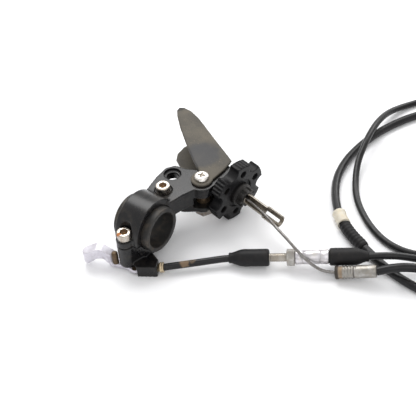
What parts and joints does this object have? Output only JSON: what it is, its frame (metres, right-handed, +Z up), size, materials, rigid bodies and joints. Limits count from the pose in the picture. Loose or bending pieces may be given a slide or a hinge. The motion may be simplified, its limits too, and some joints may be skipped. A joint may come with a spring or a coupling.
{
  "type": "motorcycle clutch perch with cable adjuster",
  "caption": "Handlebar clutch perch with split clamp, quick cable adjuster wheel, rubber dust boot, thumb lever and long coiled control cables.",
  "frame": {"origin": "centre of the handlebar bore, on its axis and between the clamp faces", "axes": "+X along the handlebar towards the middle of the machine, +Y forwards from the bar towards the lever, +Z up"},
  "size_m": [0.2728, 0.3125, 0.0405],
  "materials": {
    "perch": "satin black cast and coated aluminium",
    "sleeve": "matte dark grey polymer collar",
    "screw_steel": "plated steel, rust in the sockets",
    "dark_steel": "dull zinc-plated steel",
    "bronze": "dark sintered bronze",
    "boot_rubber": "dusty brown-grey rubber",
    "wheel_black": "matte black anodised",
    "nickel": "dull nickel plate",
    "bright_alloy": "bright cast aluminium",
    "brass": "aged brass",
    "wire_strand": "twisted steel strand",
    "cable_black": "semi-gloss black polymer sheath",
    "boot_black": "matte black rubber",
    "zinc": "aged zinc plate",
    "white_plastic": "cream-white plastic"
  },
  "bodies": {
    "perch": {"perch_body": "perch", "lower_clamp": "perch", "bar_sleeve": "sleeve", "clamp_screws": "screw_steel", "pivot_screw": "screw_steel", "pivot_nut": "dark_steel", "pivot_bush": "bronze", "detent_plunger": "dark_steel", "detent_spring": "dark_steel", "hot_start_pivot_screw": "dark_steel", "hot_start_pivot_bush": "bronze", "hot_start_spring": "dark_steel", "hot_start_cable_seat": "brass", "hot_start_lever_wire": "wire_strand", "hot_start_upper_cable": "cable_black", "adjuster_boot_front": "boot_black", "adjuster_rod": "nickel", "adjuster_locknut": "zinc", "adjuster_barrel": "bright_alloy", "adjuster_boot_rear": "boot_black", "hot_start_cable": "cable_black", "hot_start_coil": "cable_black", "hot_start_tail": "cable_black", "hot_start_end_ferrule": "brass", "hot_start_end_wire": "wire_strand", "hot_start_end_nipple": "zinc", "clutch_nipple": "zinc", "clutch_inner_wire": "wire_strand", "clutch_ferrule": "zinc", "clutch_cable": "cable_black", "clutch_collar": "white_plastic", "clutch_rib_sleeve": "boot_black", "clutch_coil": "cable_black", "clutch_tail": "cable_black", "clutch_end_ferrule": "zinc", "clutch_end_wire": "wire_strand", "clutch_end_nipple": "zinc"},
    "wheel": {"adjuster_wheel": "wheel_black"},
    "tube": {"adjuster_tube": "nickel"},
    "thumb_lever": {"hot_start_lever": "bright_alloy", "hot_start_peg": "bronze", "hot_start_nipple": "bronze"},
    "boot": {"dust_boot": "boot_rubber"}
  },
  "joints": [
    {"name": "adjuster_wheel_turn", "type": "hinge", "parent": "perch", "child": "wheel", "pos_m": [0.0321, 0.0514, -0.002], "axis": [0.9793, -0.1789, -0.0944], "range_deg": [0, 1800]},
    {"name": "adjuster_tube_slide", "type": "slide", "parent": "perch", "child": "tube", "axis": [0.9793, -0.1789, -0.0944], "range_m": [-0.005, 0]},
    {"name": "hot_start_lever_turn", "type": "hinge", "parent": "perch", "child": "thumb_lever", "pos_m": [0, -0.0155, -0.019], "axis": [0, 0, 1], "range_deg": [-28, 0], "stiffness_Nm_per_rad": 0.06, "springref_deg": 17.19},
    {"name": "dust_boot_turn", "type": "hinge", "parent": "perch", "child": "boot", "pos_m": [0.0145, 0.0385, 0.001], "axis": [0, 0, 1], "range_deg": [0, 25]}
  ],
  "couplings": [
    {"joint": "adjuster_wheel_turn", "follows": "adjuster_tube_slide", "rad_per_m": -6283}
  ]
}
